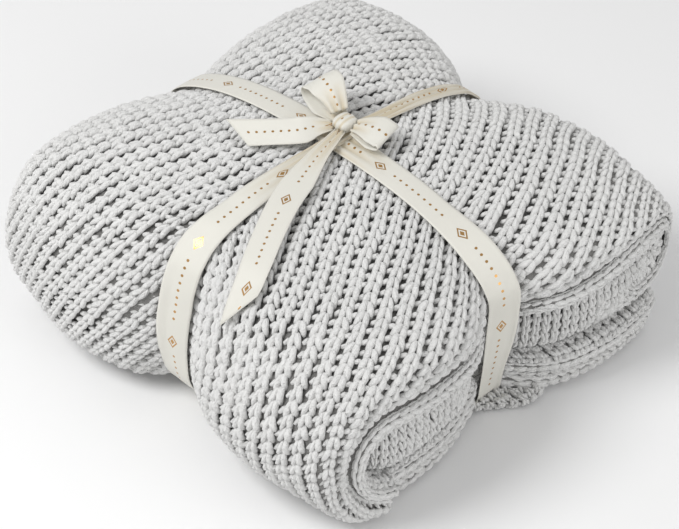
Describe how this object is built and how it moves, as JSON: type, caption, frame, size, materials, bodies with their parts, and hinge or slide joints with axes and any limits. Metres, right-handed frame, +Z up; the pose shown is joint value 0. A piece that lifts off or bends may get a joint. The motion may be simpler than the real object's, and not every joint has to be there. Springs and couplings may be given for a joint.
{
  "type": "tied knit throw",
  "caption": "Chunky rib-knit throw folded into a square bundle and tied crosswise with satin ribbon in a bow on top.",
  "frame": {"origin": "on the floor, under the middle of the bundle's bounding box", "axes": "+Z up; +X along the folded strip, from its big outer fold at -X to its small inner fold at +X; +Y across the strip"},
  "size_m": [0.4099, 0.4038, 0.1957],
  "materials": {
    "yarn": "soft matt chenille-like yarn, light warm grey",
    "satin": "cream satin ribbon with a low sheen"
  },
  "bodies": {
    "root": {"throw": "yarn", "ribbon_across": "satin", "ribbon_along": "satin", "bow_knot": "satin", "bow_loop_upper": "satin", "bow_loop_right": "satin", "bow_tail_left": "satin", "bow_tail_front": "satin"}
  },
  "joints": []
}
